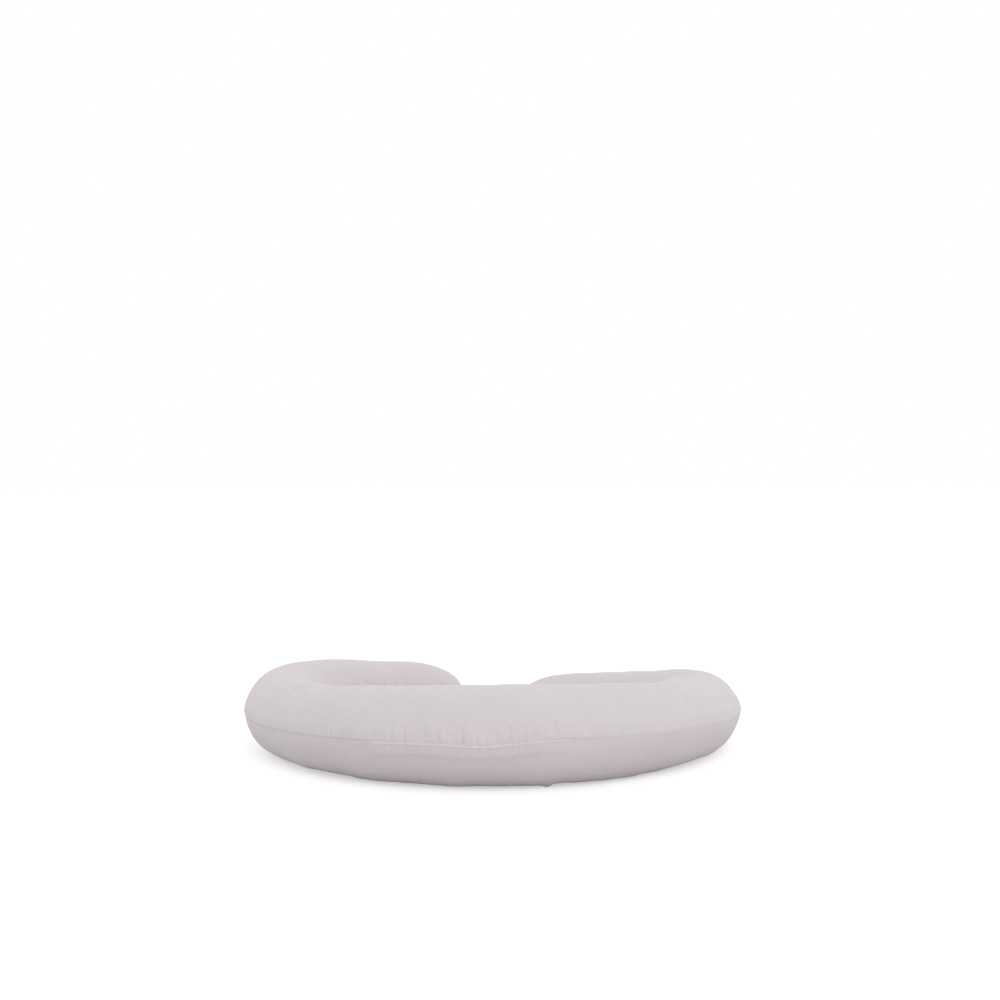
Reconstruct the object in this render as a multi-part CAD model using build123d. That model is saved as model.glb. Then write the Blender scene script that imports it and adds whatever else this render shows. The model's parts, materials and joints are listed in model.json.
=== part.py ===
"""Bum roll: a stuffed white cotton roll worn round the hips under a skirt.

One sewn and stuffed crescent that lies flat, with its thick middle at the wearer's back, towards -Y,
and its two tapered ends facing each other across the gap at the wearer's front, towards +Y.
Two panels, an upper and a lower one, meet in a ridged seam round the outside and a gathered one inside.
Millimetres, +Z up, origin at the centre of the footprint on the surface that the roll lies on.
"""

from build123d import *

import os
from bisect import bisect_right
from math import asin, cos, degrees, hypot, pi, sin

# Plan: an egg-shaped centre line, widest a little in front of its middle, open at the front
ROLL_WIDTH = 385.0
CENTRE_LINE_DEPTH = 263.0
WIDEST_FORWARD = 25.0
FRONT_GAP = 50.0

# Thickness of the stuffed roll, from its back round to its rounded ends
BACK_THICKNESS = 71.0
SIDE_THICKNESS = 59.0
END_THICKNESS = 47.0
TIP_THICKNESS = 12.0
END_ROUND_LENGTH = 50.0
END_STEPS = 5

# Uneven filling: the left end part is fuller than the right one, from the sides on
FULLER_SHARE = 0.107
FULLER_FROM_SHARE = 0.28
FULLER_OVER_SHARE = 0.5

# Section: two lobes that meet in a ridge at the outside seam, and the flat that the roll lies on
UPPER_RIDGE_SHARE = 0.18
LOWER_RIDGE_SHARE = 0.49
REST_FLAT_DEPTH = 2.0

# Gathers of the cloth along the inside seam, deep and shallow ones in turn from the middle of the back
GATHERS_PER_SIDE = 12
GATHER_DEPTH = 2.4
GATHER_SHARES = (0.5, 0.8, 0.4, 0.9, 0.7, 1.0)

# Puckers along the outside seam, deepest at the middle of the back
PUCKERED_LENGTH = 250.0
PUCKER_DEPTH = 1.5
PUCKER_SHARES = (0.6, 1.0, 0.8)

HALF_WIDTH = (ROLL_WIDTH - SIDE_THICKNESS) / 2
HALF_DEPTH = CENTRE_LINE_DEPTH / 2
TIP_ANGLE = pi - asin((FRONT_GAP / 2) / HALF_WIDTH)
SIDE_ANGLE = pi / 2
MEASURE_STEPS = 1000


def place_at(angle):
    """Point of the centre line in plan, at an angle from the back round to the front."""
    return HALF_WIDTH * sin(angle), -HALF_DEPTH * cos(angle) + WIDEST_FORWARD * sin(angle) ** 2


def run_at(angle):
    """Direction and speed of the centre line in plan."""
    return HALF_WIDTH * cos(angle), sin(angle) * (HALF_DEPTH + 2 * WIDEST_FORWARD * cos(angle))


def measured_side():
    """Angles in small steps from the middle of the back to a tip, and the length up to each of them."""
    angles = [TIP_ANGLE * step / MEASURE_STEPS for step in range(MEASURE_STEPS + 1)]
    lengths = [0.0]
    for before, after in zip(angles, angles[1:]):
        lengths.append(lengths[-1] + hypot(*run_at((before + after) / 2)) * (after - before))
    return angles, lengths


def angle_at(length, angles, lengths):
    """Angle at a length from the middle of the back, between two of the measured ones."""
    step = min(bisect_right(lengths, length), MEASURE_STEPS)
    past = (length - lengths[step - 1]) / (lengths[step] - lengths[step - 1])
    return angles[step - 1] + past * (angles[step] - angles[step - 1])


def ease(share):
    """Goes smoothly from 0 to 1, level at both ends and beyond them."""
    return (1 - cos(pi * min(1.0, max(0.0, share)))) / 2


def stuffed_thickness(angle):
    """Thickness of the roll at an angle from the back, before its ends are rounded off."""
    size = abs(angle)
    to_side = BACK_THICKNESS + (SIDE_THICKNESS - BACK_THICKNESS) * ease(size / SIDE_ANGLE)
    past_side = (size - SIDE_ANGLE) / (TIP_ANGLE - SIDE_ANGLE)
    even = to_side + (END_THICKNESS - SIDE_THICKNESS) * ease(past_side)
    fuller = FULLER_SHARE * ease((size / pi - FULLER_FROM_SHARE) / FULLER_OVER_SHARE)
    return even * (1 + fuller if angle < 0 else 1 - fuller)


def gather_at(step):
    """How far the inside seam draws the cloth in: at every second section from the middle of the back."""
    return GATHER_DEPTH * GATHER_SHARES[step // 2 % len(GATHER_SHARES)] * (step % 2)


def pucker_at(step, from_back):
    """How far the outside seam draws the cloth in: at the sections between the gathers."""
    fade = ease(1 - from_back / (PUCKERED_LENGTH / 2))
    return PUCKER_DEPTH * PUCKER_SHARES[step // 2 % len(PUCKER_SHARES)] * fade * (1 - step % 2)


def outer_quarter(reach, top, ridge_share):
    """Upper quarter from the outside seam to the crown: its centre lies below the seam, for the ridge."""
    below = ridge_share * top
    lift = asin(below / (top + below))
    return EllipticalCenterArc(
        (0, -below), reach / cos(lift), top + below, start_angle=degrees(lift), arc_size=90 - degrees(lift)
    )


def inner_quarter(reach, top):
    """Upper quarter from the crown to the inside seam."""
    return EllipticalCenterArc((0, 0), reach, top, start_angle=90, arc_size=90)


def section(angle, thickness, centre_height, gather, pucker):
    """Section of the roll: an upper and a lower lobe that meet at the two seams."""
    top = thickness / 2
    upper_outer = outer_quarter(top - pucker, top, UPPER_RIDGE_SHARE)
    upper_inner = inner_quarter(top - gather, top)
    lower_inner = upper_inner.mirror(Plane.XZ)
    lower_outer = outer_quarter(top - pucker, top, LOWER_RIDGE_SHARE).mirror(Plane.XZ)
    quarters = [upper_outer, upper_inner, lower_inner, lower_outer]
    along = Vector(*run_at(angle), 0)
    upright = Plane(
        origin=(*place_at(angle), centre_height),
        x_dir=along.cross(Vector(0, 0, 1)),
        z_dir=-along,
    )
    return upright * Face(Wire(quarters))


def side_sections(side):
    """Sections from the middle of the back to the tip on one side, which is 1 or -1."""
    angles, lengths = measured_side()
    body_length = lengths[-1] - END_ROUND_LENGTH
    body_steps = 2 * GATHERS_PER_SIDE
    sections = []
    for step in range(body_steps + 1):
        from_back = body_length * step / body_steps
        angle = side * angle_at(from_back, angles, lengths)
        full = stuffed_thickness(angle)
        rest_height = full / 2 - REST_FLAT_DEPTH
        sections.append(section(angle, full, rest_height, gather_at(step), pucker_at(step, from_back)))
    for step in range(1, END_STEPS + 1):
        turn = pi / 2 * step / END_STEPS
        angle = side * angle_at(body_length + END_ROUND_LENGTH * sin(turn), angles, lengths)
        full = stuffed_thickness(angle)
        rounded = TIP_THICKNESS + (full - TIP_THICKNESS) * cos(turn)
        sections.append(section(angle, rounded, full / 2 - REST_FLAT_DEPTH, 0, 0))
    return sections


def stuffed_roll():
    """The whole roll, straight from fold to fold, flat where it lies and centred on its footprint."""
    sections = side_sections(-1)[:0:-1] + side_sections(1)
    roll = split(loft(sections, ruled=True), bisect_by=Plane.XY, keep=Keep.TOP)
    middle = roll.bounding_box().center()
    return Pos(-middle.X, -middle.Y, 0) * roll


os.makedirs("parts", exist_ok=True)
roll = stuffed_roll()
export_step(roll, "parts/stuffed_roll.step")
box = roll.bounding_box()
print("stuffed_roll", "volume", round(roll.volume), "box", box.min, box.max, "faces", len(roll.faces()))
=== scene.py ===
import json
from math import asin, pi

import bpy
import numpy as np
from mathutils import Matrix, Vector, noise


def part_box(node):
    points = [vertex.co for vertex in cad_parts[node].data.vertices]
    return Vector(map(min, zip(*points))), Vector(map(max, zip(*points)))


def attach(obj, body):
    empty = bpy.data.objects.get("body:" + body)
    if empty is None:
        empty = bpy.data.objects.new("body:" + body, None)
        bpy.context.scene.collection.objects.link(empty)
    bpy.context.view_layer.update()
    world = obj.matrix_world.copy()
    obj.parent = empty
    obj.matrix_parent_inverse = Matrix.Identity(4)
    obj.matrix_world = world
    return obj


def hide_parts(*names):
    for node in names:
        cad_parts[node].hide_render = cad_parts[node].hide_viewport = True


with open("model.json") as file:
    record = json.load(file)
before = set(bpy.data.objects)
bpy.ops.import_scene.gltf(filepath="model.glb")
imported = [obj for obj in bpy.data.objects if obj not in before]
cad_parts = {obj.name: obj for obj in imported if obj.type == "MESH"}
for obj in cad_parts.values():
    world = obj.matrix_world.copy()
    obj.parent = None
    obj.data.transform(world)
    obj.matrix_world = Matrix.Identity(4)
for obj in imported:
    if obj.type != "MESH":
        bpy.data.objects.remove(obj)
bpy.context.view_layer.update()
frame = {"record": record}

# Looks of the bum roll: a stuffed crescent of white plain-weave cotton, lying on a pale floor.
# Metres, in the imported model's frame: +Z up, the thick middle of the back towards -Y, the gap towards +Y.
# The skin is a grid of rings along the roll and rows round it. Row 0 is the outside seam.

# Form of the solid that the skin replaces
SOLID_LOW, SOLID_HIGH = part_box("stuffed_roll")
REST_FLAT_DEPTH = 0.002
ROLL_WIDTH = SOLID_HIGH.x - SOLID_LOW.x
BACK_THICKNESS = SOLID_HIGH.z - SOLID_LOW.z + REST_FLAT_DEPTH
SIDE_THICKNESS = 0.059
END_THICKNESS = 0.047
MIDDLE_X, CENTRE_LINE_BACK = frame["record"]["mounts"][0]["pos_m"][:2]
CENTRE_LINE_DEPTH = 0.263
WIDEST_FORWARD = 0.025
FRONT_GAP = 0.050
END_ROUND_LENGTH = 0.050
END_BLUNT_POWER = 0.8
TIP_FADE_SHARE = 0.8
UPPER_RIDGE_SHARE = 0.18
LOWER_RIDGE_SHARE = 0.49
HALF_WIDTH = (ROLL_WIDTH - SIDE_THICKNESS) / 2
HALF_DEPTH = CENTRE_LINE_DEPTH / 2
TIP_ANGLE = pi - asin((FRONT_GAP / 2) / HALF_WIDTH)
SIDE_ANGLE = pi / 2

# Unevenness of a roll stuffed by hand: fuller towards the left end, and a seam that climbs to the right
FULLER_SHARE = 0.107
FULLER_FROM_SHARE = 0.28
FULLER_OVER_SHARE = 0.5
UPPER_RIDGE_CHANGE_SHARE = 0.16
LOWER_RIDGE_CHANGE_SHARE = 0.07
SEAM_LIFT_ANGLE = 0.060
SEAM_CLIMB_ANGLE = 0.035
LUMP_SIZES = (0.045, 0.019)
LUMP_DEPTHS = (0.0011, 0.0007)

# Bends of the outside seam: angle from the back, half width as an angle, and rise
SEAM_BENDS = (
    (-0.06, 0.10, -0.0018),
    (0.21, 0.11, 0.0014),
    (1.10, 0.11, -0.0018),
)

# Grid: rings close together over the puckered back, rows close together at the seams
FINE_RING_GAP = 0.0010
RING_GAP = 0.0019
FINE_RINGS_UNTIL = 0.085
FINE_RINGS_FADE = 0.060
END_RINGS = 26
MEASURE_STEPS = 4000
PANEL_GIRTH = 0.104
SEAM_ROW_GAP = 0.00026
INNER_ROW_GAP = 0.0005
ROW_GAP = 0.0023
ROW_GROWTH_SHARE = 0.105
FLOOR_BLEND = 0.0006

# Puckers of the upper panel at the outside seam: place along the seam from the middle of the back,
# reach up from the seam, lean of the top, and depth as a share of the deepest
PUCKERS = (
    (-0.1250, 0.0055, 0.0000, 0.6),
    (-0.0740, 0.0080, -0.0040, 0.7),
    (-0.0655, 0.0070, 0.0005, 0.6),
    (-0.0500, 0.0075, 0.0000, 0.7),
    (-0.0400, 0.0080, -0.0040, 0.9),
    (-0.0310, 0.0050, 0.0000, 0.4),
    (-0.0235, 0.0190, 0.0005, 1.0),
    (-0.0140, 0.0035, 0.0000, 0.5),
    (-0.0080, 0.0090, 0.0015, 0.8),
    (0.0000, 0.0050, 0.0000, 0.5),
    (0.0080, 0.0075, 0.0005, 0.7),
    (0.0180, 0.0140, 0.0010, 0.8),
    (0.0320, 0.0060, 0.0000, 0.5),
    (0.0365, 0.0045, 0.0000, 0.5),
    (0.0415, 0.0060, -0.0005, 0.6),
    (0.0570, 0.0060, 0.0010, 0.4),
)
PUCKER_DEPTH = 0.0011
PUCKER_HALF_WIDTH = 0.0013
PUCKER_START = 0.0012
PUCKER_AT_SEAM_SHARE = 0.25
PUCKER_SPREAD_SHARE = 0.8
LOWER_PUCKER_SHARE = 0.45

# Cross profile of puckers and gathers: the ridges beside the valley, in shares of its half width and depth
BESIDE_PLACE_SHARE = 2.1
BESIDE_WIDTH_SHARE = 1.2
BESIDE_HEIGHT_SHARE = 0.55

# Single folds of the cloth, and broad swells and dips of the crest: place along the outside seam, the two
# heights above it that the fold runs between, lean of its top, half width, and height, below 0 for a valley
FOLDS = (
    (-0.2215, 0.005, 0.018, -0.0060, 0.0030, 0.0008),
    (-0.2200, 0.017, 0.037, 0.0000, 0.0032, 0.0008),
    (-0.1900, 0.028, 0.046, -0.0030, 0.0027, 0.0012),
    (-0.1842, 0.028, 0.048, -0.0060, 0.0025, -0.0013),
    (-0.1800, 0.022, 0.050, 0.0020, 0.0030, 0.0014),
    (-0.1695, 0.015, 0.034, 0.0020, 0.0030, -0.0011),
    (-0.1229, 0.036, 0.054, 0.0040, 0.0040, 0.0012),
    (-0.0993, 0.036, 0.054, 0.0000, 0.0040, 0.0012),
    (0.0399, -0.053, -0.041, 0.0000, 0.0032, 0.0016),
    (0.1385, 0.020, 0.038, 0.0000, 0.0032, -0.0010),
    (0.1510, 0.020, 0.038, 0.0010, 0.0032, 0.0011),
    (0.1682, 0.017, 0.035, 0.0000, 0.0032, 0.0011),
    (0.1890, 0.014, 0.039, 0.0020, 0.0032, 0.0012),
    (-0.2280, 0.030, 0.078, 0.0000, 0.0160, 0.0014),
    (-0.1650, 0.020, 0.085, 0.0000, 0.0220, -0.0019),
    (-0.0030, 0.020, 0.085, 0.0000, 0.0250, -0.0012),
    (0.0000, 0.020, 0.085, 0.0000, 0.0900, 0.0010),
    (0.1600, 0.020, 0.085, 0.0000, 0.0220, -0.0012),
    (0.2030, 0.030, 0.078, 0.0000, 0.0140, 0.0020),
)

# Gathers along the inside seam
GATHER_SEED = 7
GATHER_COUNT = 58
GATHER_DEPTHS = (0.0004, 0.0012)
GATHER_REACHES = (0.010, 0.030)
GATHER_STRAY_SHARES = (0.15, 0.85)
GATHER_HALF_WIDTH = 0.0026
GATHER_SPREAD_SHARE = 0.7
GATHER_LEAN = 0.004
INSIDE_GROOVE_DEPTH = 0.0010
INSIDE_GROOVE_HALF_WIDTH = 0.0010

# Outside seam: a groove, a rolled lip below its middle part, a step down to the lower panel at the two
# sides, a ridge, and the seam allowance inside, which lies down over the middle part and lifts the cloth
GROOVE_PLACES = (-0.100, -0.070, 0.030, 0.045, 0.085, 0.120)
GROOVE_DEPTHS = (0.0006, 0.00035, 0.00035, 0.0007, 0.0005, 0.0003)
GROOVE_HALF_WIDTH = 0.0006
GROOVE_LOWER_SHARE = 0.35
STEP_SHARE = 0.8
STEP_REACH = 0.010
LIP_PLACE = 0.0008
LIP_HALF_WIDTH = 0.0005
LIP_HEIGHT = 0.0005
RIDGE_PLACES = (0.060, 0.110)
RIDGE_HEIGHTS = (0.0009, 0.0016)
RIDGE_REACH = 0.006
RIDGE_DOWN_SHARE = 0.5
ALLOWANCE_WIDTH = 0.0085
ALLOWANCE_LIFT = 0.0006
ALLOWANCE_EDGE = 0.0026
ALLOWANCE_DOWN_FROM = -0.090
ALLOWANCE_DOWN_TO = 0.047
ALLOWANCE_TWIST = 0.010
ALLOWANCE_UP_SHARE = 0.4
ALLOWANCE_UNEVEN_SHARE = 0.12
ALLOWANCE_WAVES = (0.0041, 0.0113)

# Cloth: worked at a larger scale, with spare length beside the two seams that buckles into puckers
CLOTH_SCALE = 20
CLOTH_FRAMES = 16
CLOTH_PRESSURE = 20.0
CLOTH_QUALITY = 5
CLOTH_MASS = 0.2
CLOTH_STRETCH_STIFFNESS = 20
CLOTH_SHEAR_STIFFNESS = 8
CLOTH_BEND_STIFFNESS = 0.5
CLOTH_WEIGHT_DIGITS = 2
CLOTH_HOLD_SHARE = 0.2
CLOTH_MOST_MOVE = 0.004
TAKEN_IN = 0.0006
SPARE_SHARE = 0.06
SPARE_HEIGHT = 0.016
SPARE_PATCH_LENGTH = 0.013
SPARE_UNEVEN_SHARE = 1.1
SPARE_SEAM_WIDTH = 0.001
SPARE_BACK_LENGTH = 0.150
SPARE_SIDE_SHARE = 0.3
SPARE_LOWER_SHARE = 0.35
SPARE_INSIDE_HEIGHT = 0.026

# Colours, gloss and weave
COTTON = (0.795, 0.738, 0.772, 1)
COTTON_SHADE = (0.725, 0.668, 0.700, 1)
THREAD_GAP = 0.00042
SLUB_LENGTH = 0.009
SLUB_WIDTH = 0.0015
MOTTLE_SIZE = 0.0024
TONE_SIZE = 0.045
STITCH_LENGTH = 0.0026
STITCH_HALF_WIDTH = 0.0009
SLUB_TONE_SHARE = 0.65
MOTTLE_TONE_SHARE = 0.5
WIDE_TONE_SHARE = 0.8
TONE_SHIFT_SHARE = -0.8
NOISE_DETAIL = 2
WEAVE_BUMP_SHARE = 0.5
STITCH_BUMP_SHARE = 0.4
BUMP_STRENGTH = 0.35
BUMP_HEIGHT = 0.0002
ROUGHNESSES = (0.78, 0.92)
SHEEN = 0.12
SHEEN_ROUGHNESS = 0.6
SPECULAR = 0.25

# Camera, lights and floor
CAMERA_PLACE = (-0.0151, -1.2838, 0.2454)
CAMERA_YAW = -0.0169
CAMERA_PITCH = 0.0416
CAMERA_ROLL = -0.0067
CAMERA_LENS = 60.99
SENSOR_WIDTH = 36.0
FLOOR_SIZE = 12.0
FLOOR_COLOUR = (0.745, 0.732, 0.720, 1)
FLOOR_GLOWS = (0.49, 1.0)
FLOOR_GLOW_PLACES = (0.45, 1.6)
SKY_STRENGTH = 0.745
LAMP_SIZE = 1.4
KEY_PLACE = (0.44, -1.38, 1.02)
KEY_WATTS = 4.9
LEFT_FILL_PLACE = (-1.5, 1.0, 0.85)
RIGHT_FILL_PLACE = (1.5, 1.0, 0.85)
FILL_WATTS = 4.6


def eased(share):
    """Goes smoothly from 0 to 1, level at both ends."""
    share = np.clip(share, 0, 1)
    return (1 - np.cos(pi * share)) / 2


def place_at(turn):
    """Points of the centre line in plan, at angles from the back round to the front."""
    x = MIDDLE_X + HALF_WIDTH * np.sin(turn)
    y = CENTRE_LINE_BACK + HALF_DEPTH * (1 - np.cos(turn)) + WIDEST_FORWARD * np.sin(turn) ** 2
    return np.stack([x, y], axis=-1)


def run_at(turn):
    """Direction and speed of the centre line in plan."""
    x = HALF_WIDTH * np.cos(turn)
    y = np.sin(turn) * (HALF_DEPTH + 2 * WIDEST_FORWARD * np.cos(turn))
    return np.stack([x, y], axis=-1)


def half_thickness(turn):
    """Half the thickness of the stuffed roll, before its ends are rounded off."""
    size = np.abs(turn)
    to_side = BACK_THICKNESS + (SIDE_THICKNESS - BACK_THICKNESS) * eased(size / SIDE_ANGLE)
    past_side = (size - SIDE_ANGLE) / (TIP_ANGLE - SIDE_ANGLE)
    to_end = SIDE_THICKNESS + (END_THICKNESS - SIDE_THICKNESS) * eased(past_side)
    fuller = eased((size / pi - FULLER_FROM_SHARE) / FULLER_OVER_SHARE)
    return np.where(size < SIDE_ANGLE, to_side, to_end) / 2 * (1 - FULLER_SHARE * np.sign(turn) * fuller)


def stepped(length, gap_at):
    """Places from 0 to a length, each a gap beyond the last, with the gaps given by a function."""
    places = [0.0]
    while places[-1] < length:
        places.append(places[-1] + gap_at(places[-1]))
    return np.array(places) * length / places[-1]


def ring_turns():
    """Angles of the rings from tip to tip, and how much of the full thickness each has."""
    turns = np.linspace(0, TIP_ANGLE, MEASURE_STEPS)
    speeds = np.linalg.norm(run_at(turns), axis=-1)
    lengths = np.concatenate([[0], np.cumsum((speeds[1:] + speeds[:-1]) / 2 * np.diff(turns))])
    body = lengths[-1] - END_ROUND_LENGTH

    def gap_at(place):
        wider = eased((place - FINE_RINGS_UNTIL) / FINE_RINGS_FADE)
        return FINE_RING_GAP + (RING_GAP - FINE_RING_GAP) * wider

    places = stepped(body, gap_at)
    round_turns = np.arange(1, END_RINGS) / END_RINGS * pi / 2
    places = np.concatenate([places, body + END_ROUND_LENGTH * np.sin(round_turns)])
    fullness = np.ones(len(places))
    fullness[-len(round_turns):] = np.cos(round_turns) ** END_BLUNT_POWER
    side = np.interp(places, lengths, turns)
    return np.concatenate([-side[:0:-1], side]), np.concatenate([fullness[:0:-1], fullness])


def row_shares():
    """Shares of the way over a panel from the outside seam to the inside seam."""

    def gap_at(place):
        from_inner = max(0.0, PANEL_GIRTH - place)
        return min(
            ROW_GAP, SEAM_ROW_GAP + ROW_GROWTH_SHARE * place, INNER_ROW_GAP + ROW_GROWTH_SHARE * from_inner
        )

    return stepped(PANEL_GIRTH, gap_at) / PANEL_GIRTH


def section_points(half, ridge, shares, side):
    """Outward and upward places round one panel's section, with side 1 for the upper, -1 for the lower."""
    below = ridge * half
    lift = np.arcsin(below / (half + below))
    over_outer = lift + (pi / 2 - lift) * 2 * shares
    over_inner = pi * shares
    out = np.where(shares < 0.5, half / np.cos(lift) * np.cos(over_outer), half * np.cos(over_inner))
    up = np.where(shares < 0.5, -below + (half + below) * np.sin(over_outer), half * np.sin(over_inner))
    return out, side * up


def seam_bends(turns):
    """How far the outside seam rises above its smooth course."""
    rise = np.zeros(len(turns))
    for turn, half_width, height in SEAM_BENDS:
        rise += height * np.exp(-(((turns - turn) / half_width) ** 2))
    return rise


class Skin:
    """Grid of points over the roll, with the measures that the sewn details are placed by."""

    def __init__(self):
        self.turns, fullness = ring_turns()
        upper = row_shares()
        self.shares = np.concatenate([upper, upper[-2:0:-1]])
        self.sides = np.concatenate([np.ones(len(upper)), -np.ones(len(upper) - 2)])
        full = half_thickness(self.turns)
        half = (full * fullness)[:, None]
        to_right = np.sin(self.turns)[:, None]
        upper_ridge = UPPER_RIDGE_SHARE + UPPER_RIDGE_CHANGE_SHARE * to_right
        lower_ridge = LOWER_RIDGE_SHARE + LOWER_RIDGE_CHANGE_SHARE * to_right
        ridge = np.where(self.sides[None, :] > 0, upper_ridge, lower_ridge)
        out, up = section_points(half, ridge, self.shares[None, :], self.sides[None, :])
        climb = SEAM_LIFT_ANGLE + SEAM_CLIMB_ANGLE * np.sin(self.turns)
        twist = (climb + seam_bends(self.turns) / full)[:, None]
        out, up = out * np.cos(twist) - up * np.sin(twist), out * np.sin(twist) + up * np.cos(twist)
        run = run_at(self.turns)
        run = run / np.linalg.norm(run, axis=-1, keepdims=True)
        outward = np.stack([run[:, 1], -run[:, 0]], axis=-1)
        plan = place_at(self.turns)[:, None, :] + outward[:, None, :] * out[:, :, None]
        height = (full - REST_FLAT_DEPTH)[:, None] + up
        self.points = np.concatenate([plan, height[:, :, None]], axis=-1)
        self.outward = self.normals()
        self.settle()
        self.along = self.seam_lengths(0)
        self.along_inside = self.seam_lengths(len(upper) - 1)
        girth = pi * half
        self.above = girth * self.shares[None, :] * self.sides[None, :]
        self.from_inside = girth * (1 - self.shares[None, :])
        across = girth * (0.5 - self.shares[None, :])
        flat = place_at(self.turns)[:, None, :] + outward[:, None, :] * across[:, :, None]
        self.cut = flat.reshape(-1, 2)
        self.fullness = fullness

    def seam_lengths(self, row):
        """Lengths along a seam, from the middle of the back."""
        steps = np.linalg.norm(np.diff(self.points[:, row], axis=0), axis=-1)
        lengths = np.concatenate([[0], np.cumsum(steps)])
        return lengths - np.interp(0, self.turns, lengths)

    def settle(self):
        """Flattens the underside where it lies, with a soft edge to the flat."""
        z = self.points[:, :, 2]
        self.points[:, :, 2] = (z + np.sqrt(z * z + FLOOR_BLEND ** 2)) / 2

    def normals(self):
        """Outward directions at all the points."""
        along = np.gradient(self.points, axis=0)
        round_it = np.roll(self.points, -1, axis=1) - np.roll(self.points, 1, axis=1)
        normal = np.cross(along, round_it)
        return normal / np.linalg.norm(normal, axis=-1, keepdims=True)

    def push(self, depth):
        """Moves the points along the smooth skin's directions by depths, which fade out at the two tips."""
        fade = eased(self.fullness / TIP_FADE_SHARE)[:, None]
        self.points += self.outward * (depth * fade)[:, :, None]


def lumps(skin):
    """Soft unevenness of the filling, in large and small lumps."""
    depth = np.zeros(skin.above.shape)
    for size, height in zip(LUMP_SIZES, LUMP_DEPTHS):
        flat = (skin.points.reshape(-1, 3) / size).tolist()
        depth += height * np.array([noise.noise(place) for place in flat]).reshape(depth.shape)
    return depth


def fold(off, half_width):
    """Cross profile of a pucker: a narrow valley between two rounder ridges."""
    valley = -np.exp(-((off / half_width) ** 2))
    beside = np.abs(off) - BESIDE_PLACE_SHARE * half_width
    ridges = np.exp(-((beside / (BESIDE_WIDTH_SHARE * half_width)) ** 2))
    return valley + BESIDE_HEIGHT_SHARE * ridges


def pucker_depths(skin):
    """Puckers that stand up from the outside seam, with shorter ones hanging below it."""
    depth = np.zeros(skin.above.shape)
    for place, reach, lean, share in PUCKERS:
        for side, size in ((1, 1.0), (-1, LOWER_PUCKER_SHARE)):
            height = skin.above * side
            up = np.clip(height / (reach * size), 0, 1)
            off = skin.along[:, None] - place - lean * up
            start = eased(PUCKER_AT_SEAM_SHARE + height / PUCKER_START)
            envelope = (height >= 0) * start * (1 - eased(up))
            half_width = PUCKER_HALF_WIDTH * (PUCKER_SPREAD_SHARE + PUCKER_SPREAD_SHARE * up)
            depth += share * size * PUCKER_DEPTH * envelope * fold(off, half_width)
    return depth


def fold_depths(skin):
    """Single folds, each a soft ridge or valley that fades out at both ends."""
    depth = np.zeros(skin.above.shape)
    for place, low, high, lean, half_width, height in FOLDS:
        up = (skin.above - low) / (high - low)
        off = skin.along[:, None] - place - lean * up
        depth += height * np.sin(pi * np.clip(up, 0, 1)) * np.exp(-((off / half_width) ** 2))
    return depth


def gather_depths(skin):
    """Gathers that run out from the inside seam over both panels, uneven in place, depth and reach."""
    dice = np.random.default_rng(GATHER_SEED)
    span = skin.along_inside[-1] - skin.along_inside[0]
    depth = np.zeros(skin.above.shape)
    for number in range(GATHER_COUNT):
        stray = dice.uniform(*GATHER_STRAY_SHARES)
        place = skin.along_inside[0] + span * (number + stray) / GATHER_COUNT
        size = dice.uniform(*GATHER_DEPTHS)
        for side in (1, -1):
            reach = dice.uniform(*GATHER_REACHES)
            lean = dice.uniform(-GATHER_LEAN, GATHER_LEAN)
            up = np.clip(skin.from_inside / reach, 0, 1)
            off = skin.along_inside[:, None] - place - lean * up
            mask = skin.sides[None, :] == side
            half_width = GATHER_HALF_WIDTH * (GATHER_SPREAD_SHARE + GATHER_SPREAD_SHARE * up)
            depth += mask * size * (1 - eased(up)) * fold(off, half_width)
    return depth


def inside_seam_depths(skin):
    """Groove of the inside seam, between the gathers of the two panels."""
    return -INSIDE_GROOVE_DEPTH * np.exp(-((skin.from_inside / INSIDE_GROOVE_HALF_WIDTH) ** 2))


def seam_depths(skin):
    """Groove, lip, step and ridge of the outside seam, and the cloth lifted by the seam allowance."""
    along = skin.along[:, None]
    from_twist = np.minimum(along - ALLOWANCE_DOWN_FROM, ALLOWANCE_DOWN_TO - along)
    down = eased(0.5 + from_twist / ALLOWANCE_TWIST)
    short_wave, long_wave = ALLOWANCE_WAVES
    uneven = ALLOWANCE_UNEVEN_SHARE * np.sin(along / short_wave) * np.sin(along / long_wave + 1)
    width = ALLOWANCE_WIDTH * (1 + uneven)
    size = np.abs(skin.above)
    band = eased(size / (2 * GROOVE_HALF_WIDTH)) * (1 - eased((size - width) / ALLOWANCE_EDGE + 0.5))
    lifted = np.where(skin.above < 0, down, ALLOWANCE_UP_SHARE * (1 - down)) * (skin.above != 0)
    below = skin.above < 0
    sunk = np.interp(along, GROOVE_PLACES, GROOVE_DEPTHS)
    groove = sunk * np.exp(-((skin.above / GROOVE_HALF_WIDTH) ** 2))
    groove = groove * np.where(below, GROOVE_LOWER_SHARE + (1 - GROOVE_LOWER_SHARE) * down, 1)
    step = STEP_SHARE * sunk * (1 - down) * below * np.exp(-size / STEP_REACH)
    lip = down * np.exp(-(((skin.above + LIP_PLACE) / LIP_HALF_WIDTH) ** 2))
    ridge = np.interp(along, RIDGE_PLACES, RIDGE_HEIGHTS) * np.exp(-size / RIDGE_REACH)
    ridge = ridge * (1 - (1 - RIDGE_DOWN_SHARE) * down)
    return ridge + ALLOWANCE_LIFT * band * lifted + LIP_HEIGHT * lip - groove - step


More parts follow.
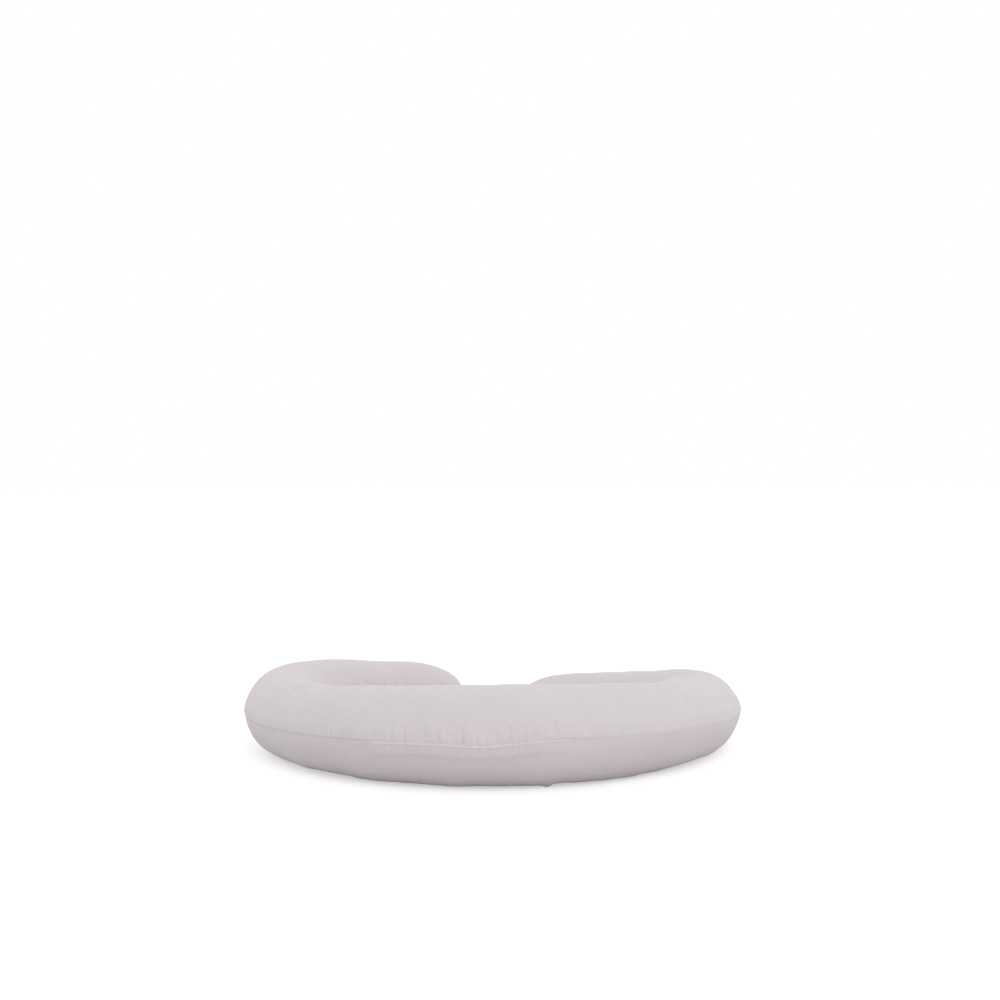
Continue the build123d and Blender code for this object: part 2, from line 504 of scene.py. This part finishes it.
def skin_mesh(skin, scale=1):
    """Mesh of the skin, closed by one point at each tip, with a map of the flat cut and one of the seam."""
    rings, rows = skin.points.shape[:2]
    first, last = skin.points[0].mean(axis=0), skin.points[-1].mean(axis=0)
    points = np.concatenate([skin.points.reshape(-1, 3), [first, last]])
    cut = np.concatenate([skin.cut, [skin.cut[:rows].mean(axis=0), skin.cut[-rows:].mean(axis=0)]])
    along = np.broadcast_to(skin.along[:, None], skin.above.shape)
    seam = np.stack([along, skin.above], axis=-1).reshape(-1, 2)
    seam = np.concatenate([seam, seam[[0, -rows]]])
    ring = np.arange(rings - 1)[:, None] * rows
    row = np.arange(rows)[None, :]
    after = (row + 1) % rows
    quads = np.stack([ring + row, ring + rows + row, ring + rows + after, ring + after], axis=-1)
    tip = rings * rows
    row, after = row[0], after[0]
    end = (rings - 1) * rows
    faces = quads.reshape(-1, 4).tolist()
    faces += [(tip, int(a), int(b)) for a, b in zip(row, after)]
    faces += [(tip + 1, int(end + b), int(end + a)) for a, b in zip(row, after)]
    mesh = bpy.data.meshes.new("stuffed_cotton")
    mesh.from_pydata((points * scale).tolist(), [], faces)
    mesh.polygons.foreach_set("use_smooth", [True] * len(mesh.polygons))
    corners = np.empty(len(mesh.loops), dtype=np.int64)
    mesh.loops.foreach_get("vertex_index", corners)
    mesh.uv_layers.new(name="cut").data.foreach_set("uv", cut[corners].ravel())
    mesh.uv_layers.new(name="seam").data.foreach_set("uv", seam[corners].ravel())
    mesh.validate()
    return mesh


def weigh(piece, name, weights):
    """Vertex group of a piece with a weight for every point."""
    group = piece.vertex_groups.new(name=name)
    levels = np.round(weights, CLOTH_WEIGHT_DIGITS)
    for level in np.unique(levels[levels > 0]):
        group.add(np.flatnonzero(levels == level).tolist(), float(level), "REPLACE")


def spare_shares(skin):
    """How much of the spare length the cloth has: most beside the outside seam at the back."""
    size = np.abs(skin.above)
    wander = [noise.noise((place, 0.0, 0.0)) for place in (skin.along / SPARE_PATCH_LENGTH).tolist()]
    uneven = np.clip(1 + SPARE_UNEVEN_SHARE * np.array(wander), 0, None)[:, None]
    height = SPARE_HEIGHT * (uneven + 1) / 2
    outside = uneven * eased(size / SPARE_SEAM_WIDTH) * (1 - eased(size / height))
    back = 1 - eased((np.abs(skin.along[:, None]) - SPARE_BACK_LENGTH / 2) / SPARE_BACK_LENGTH)
    outside *= SPARE_SIDE_SHARE + (1 - SPARE_SIDE_SHARE) * back
    outside *= np.where(skin.above < 0, SPARE_LOWER_SHARE, 1)
    size = skin.from_inside
    inside = eased(size / SPARE_SEAM_WIDTH) * (1 - eased(size / SPARE_INSIDE_HEIGHT))
    return np.clip(np.maximum(outside, inside), 0, 1) * eased(skin.fullness / TIP_FADE_SHARE)[:, None]


def stuffed_by_pressure(skin):
    """Blows the cover up from inside as cloth, held softly by the filling, and keeps the form it takes."""
    scene = bpy.context.scene
    piece = bpy.data.objects.new("cover", skin_mesh(skin, CLOTH_SCALE))
    scene.collection.objects.link(piece)
    sewn_or_lying = (np.abs(skin.above) < SPARE_SEAM_WIDTH) | (skin.points[:, :, 2] < FLOOR_BLEND)
    held = np.where(sewn_or_lying, 1.0, CLOTH_HOLD_SHARE)
    weigh(piece, "held", np.concatenate([held.ravel(), [1, 1]]))
    weigh(piece, "tight", np.concatenate([1 - spare_shares(skin).ravel(), [1, 1]]))
    modifier = piece.modifiers.new("cover", "CLOTH")
    cloth = modifier.settings
    cloth.quality = CLOTH_QUALITY
    cloth.mass = CLOTH_MASS
    cloth.tension_stiffness = CLOTH_STRETCH_STIFFNESS
    cloth.compression_stiffness = CLOTH_STRETCH_STIFFNESS
    cloth.shear_stiffness = CLOTH_SHEAR_STIFFNESS
    cloth.bending_stiffness = CLOTH_BEND_STIFFNESS
    cloth.vertex_group_mass = "held"
    cloth.pin_stiffness = 1
    cloth.vertex_group_shrink = "tight"
    cloth.shrink_min = -SPARE_SHARE
    cloth.shrink_max = 0
    cloth.use_pressure = True
    cloth.uniform_pressure_force = CLOTH_PRESSURE
    cloth.effector_weights.gravity = 0
    modifier.collision_settings.use_collision = False
    modifier.point_cache.frame_start = 1
    modifier.point_cache.frame_end = CLOTH_FRAMES
    for number in range(1, CLOTH_FRAMES + 1):
        scene.frame_set(number)
    shaped = piece.evaluated_get(bpy.context.evaluated_depsgraph_get()).data
    moved = np.empty(3 * len(shaped.vertices))
    shaped.vertices.foreach_get("co", moved)
    bpy.data.objects.remove(piece)
    scene.frame_set(1)
    moved = moved.reshape(-1, 3)[:-2].reshape(skin.points.shape) / CLOTH_SCALE - skin.points
    length = np.linalg.norm(moved, axis=-1, keepdims=True)
    swell = (moved * skin.outward).sum(axis=-1).mean()
    skin.points += moved * CLOTH_MOST_MOVE / np.maximum(length, CLOTH_MOST_MOVE)
    skin.push(-swell * eased(np.abs(skin.above) / SPARE_HEIGHT))


def cotton():
    """White plain-weave cotton: woven bump, uneven threads, an uneven tone and stitch pulls at the seam."""
    material = bpy.data.materials.new("white_cotton")
    material.use_nodes = True
    tree = material.node_tree
    link = tree.links.new
    surface = tree.nodes["Principled BSDF"]
    surface.inputs["Sheen Weight"].default_value = SHEEN
    surface.inputs["Sheen Roughness"].default_value = SHEEN_ROUGHNESS
    surface.inputs["Specular IOR Level"].default_value = SPECULAR

    def node(kind, **values):
        made = tree.nodes.new(kind)
        for name, value in values.items():
            setattr(made, name, value)
        return made

    def math(operation, first, second):
        made = node("ShaderNodeMath", operation=operation)
        for socket, value in zip(made.inputs, (first, second)):
            if isinstance(value, (int, float)):
                socket.default_value = value
            else:
                link(value, socket)
        return made.outputs[0]

    cut = node("ShaderNodeUVMap", uv_map="cut").outputs["UV"]
    split = node("ShaderNodeSeparateXYZ")
    link(cut, split.inputs[0])
    warp = math("SINE", math("MULTIPLY", split.outputs["X"], pi / THREAD_GAP), 0)
    weft = math("SINE", math("MULTIPLY", split.outputs["Y"], pi / THREAD_GAP), 0)
    weave = math("MULTIPLY", warp, weft)

    def threads(stretch):
        mapping = node("ShaderNodeMapping")
        mapping.inputs["Scale"].default_value = stretch
        link(cut, mapping.inputs["Vector"])
        made = node("ShaderNodeTexNoise")
        made.inputs["Scale"].default_value = 1
        made.inputs["Detail"].default_value = NOISE_DETAIL
        link(mapping.outputs[0], made.inputs["Vector"])
        return made.outputs["Fac"]

    weft_slubs = threads((1 / SLUB_LENGTH, 1 / SLUB_WIDTH, 1))
    warp_slubs = threads((1 / SLUB_WIDTH, 1 / SLUB_LENGTH, 1))
    slubs = math("ADD", weft_slubs, warp_slubs)
    mottle = threads((1 / MOTTLE_SIZE, 1 / MOTTLE_SIZE, 1))
    tone = threads((1 / TONE_SIZE, 1 / TONE_SIZE, 1))
    level = math("MULTIPLY", slubs, SLUB_TONE_SHARE)
    level = math("ADD", level, math("MULTIPLY", mottle, MOTTLE_TONE_SHARE))
    level = math("ADD", level, math("MULTIPLY", tone, WIDE_TONE_SHARE))
    level = math("ADD", level, TONE_SHIFT_SHARE)
    mix = node("ShaderNodeMix", data_type="RGBA")
    mix.inputs[6].default_value = COTTON
    mix.inputs[7].default_value = COTTON_SHADE
    link(level, mix.inputs[0])
    link(mix.outputs[2], surface.inputs["Base Color"])
    rough = node("ShaderNodeMapRange")
    rough.inputs["To Min"].default_value, rough.inputs["To Max"].default_value = ROUGHNESSES
    link(math("MULTIPLY", slubs, 1 / 2), rough.inputs["Value"])
    link(rough.outputs[0], surface.inputs["Roughness"])

    seam = node("ShaderNodeSeparateXYZ")
    link(node("ShaderNodeUVMap", uv_map="seam").outputs["UV"], seam.inputs[0])
    away = math("MULTIPLY", seam.outputs["Y"], 1 / STITCH_HALF_WIDTH)
    near = math("EXPONENT", math("MULTIPLY", math("MULTIPLY", away, away), -1), 0)
    turn = math("MULTIPLY", seam.outputs["X"], 2 * pi / STITCH_LENGTH)
    pulled = math("ADD", math("COSINE", turn, 0), 1)
    stitches = math("MULTIPLY", near, pulled)
    height = math("ADD", math("MULTIPLY", weave, WEAVE_BUMP_SHARE), slubs)
    height = math("SUBTRACT", height, math("MULTIPLY", stitches, STITCH_BUMP_SHARE))
    bump = node("ShaderNodeBump")
    bump.inputs["Strength"].default_value = BUMP_STRENGTH
    bump.inputs["Distance"].default_value = BUMP_HEIGHT
    link(height, bump.inputs["Height"])
    link(bump.outputs[0], surface.inputs["Normal"])
    return material


def stuffed_cotton():
    """The roll's cover, filled and sewn, as the piece that replaces the solid."""
    skin = Skin()
    skin.push(lumps(skin))
    skin.push(pucker_depths(skin) + gather_depths(skin))
    skin.settle()
    stuffed_by_pressure(skin)
    skin.push(fold_depths(skin) + seam_depths(skin) + inside_seam_depths(skin) - TAKEN_IN)
    skin.points[:, :, 2] = np.maximum(skin.points[:, :, 2], 0)
    piece = bpy.data.objects.new("stuffed_cotton", skin_mesh(skin))
    bpy.context.scene.collection.objects.link(piece)
    piece.data.materials.append(cotton())
    return piece


def seen_directly(tree):
    """Socket that is 1 for rays from the camera, straight or by way of gloss or glass, and else 0."""
    ray = tree.nodes.new("ShaderNodeLightPath")
    socket = ray.outputs["Is Camera Ray"]
    for kind in ("Is Glossy Ray", "Is Transmission Ray"):
        either = tree.nodes.new("ShaderNodeMath")
        either.operation = "MAXIMUM"
        tree.links.new(socket, either.inputs[0])
        tree.links.new(ray.outputs[kind], either.inputs[1])
        socket = either.outputs[0]
    return socket


def floor():
    """Plain pale floor that shows white where no shadow falls."""
    bpy.ops.mesh.primitive_plane_add(size=FLOOR_SIZE)
    plane = bpy.context.object
    plane.name = "floor"
    material = bpy.data.materials.new("floor")
    material.use_nodes = True
    tree = material.node_tree
    surface = tree.nodes["Principled BSDF"]
    surface.inputs["Base Color"].default_value = FLOOR_COLOUR
    surface.inputs["Roughness"].default_value = 1
    surface.inputs["Specular IOR Level"].default_value = 0
    glow = tree.nodes.new("ShaderNodeEmission")
    place = tree.nodes.new("ShaderNodeTexCoord")
    away = tree.nodes.new("ShaderNodeVectorMath")
    away.operation = "LENGTH"
    tree.links.new(place.outputs["Object"], away.inputs[0])
    spread = tree.nodes.new("ShaderNodeMapRange")
    spread.interpolation_type = "SMOOTHSTEP"
    spread.inputs["From Min"].default_value, spread.inputs["From Max"].default_value = FLOOR_GLOW_PLACES
    spread.inputs["To Min"].default_value, spread.inputs["To Max"].default_value = FLOOR_GLOWS
    tree.links.new(away.outputs["Value"], spread.inputs["Value"])
    level = tree.nodes.new("ShaderNodeMath")
    level.operation = "MULTIPLY"
    tree.links.new(spread.outputs[0], level.inputs[1])
    tree.links.new(seen_directly(tree), level.inputs[0])
    tree.links.new(level.outputs[0], glow.inputs["Strength"])
    both = tree.nodes.new("ShaderNodeAddShader")
    tree.links.new(surface.outputs[0], both.inputs[0])
    tree.links.new(glow.outputs[0], both.inputs[1])
    tree.links.new(both.outputs[0], tree.nodes["Material Output"].inputs["Surface"])
    plane.data.materials.append(material)
    return plane


def sky():
    """Even soft light from all round, seen as white."""
    world = bpy.data.worlds.new("studio")
    bpy.context.scene.world = world
    world.use_nodes = True
    tree = world.node_tree
    light = tree.nodes["Background"]
    light.inputs["Color"].default_value = (1, 1, 1, 1)
    light.inputs["Strength"].default_value = SKY_STRENGTH
    white = tree.nodes.new("ShaderNodeBackground")
    white.inputs["Color"].default_value = (1, 1, 1, 1)
    mix = tree.nodes.new("ShaderNodeMixShader")
    tree.links.new(seen_directly(tree), mix.inputs[0])
    tree.links.new(light.outputs[0], mix.inputs[1])
    tree.links.new(white.outputs[0], mix.inputs[2])
    tree.links.new(mix.outputs[0], tree.nodes["World Output"].inputs["Surface"])


def softbox(name, place, watts):
    """Large square lamp at a place, turned to the roll."""
    lamp = bpy.data.lights.new(name, "AREA")
    lamp.size = LAMP_SIZE
    lamp.energy = watts
    holder = bpy.data.objects.new(name, lamp)
    holder.location = place
    holder.rotation_euler = (-Vector(place)).to_track_quat("-Z", "Y").to_euler()
    bpy.context.scene.collection.objects.link(holder)


def camera():
    """Camera behind the roll, a little above it."""
    data = bpy.data.cameras.new("camera")
    data.lens = CAMERA_LENS
    data.sensor_width = SENSOR_WIDTH
    holder = bpy.data.objects.new("camera", data)
    tilt = Matrix.Rotation(pi / 2 - CAMERA_PITCH, 4, "X") @ Matrix.Rotation(CAMERA_ROLL, 4, "Z")
    holder.matrix_world = Matrix.Translation(CAMERA_PLACE) @ Matrix.Rotation(CAMERA_YAW, 4, "Z") @ tilt
    bpy.context.scene.collection.objects.link(holder)
    bpy.context.scene.camera = holder


roll = stuffed_cotton()
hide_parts("stuffed_roll")
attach(roll, "root")
floor()
sky()
softbox("key", KEY_PLACE, KEY_WATTS)
softbox("left_fill", LEFT_FILL_PLACE, FILL_WATTS)
softbox("right_fill", RIGHT_FILL_PLACE, FILL_WATTS)
camera()
bpy.context.scene.view_settings.view_transform = "Standard"
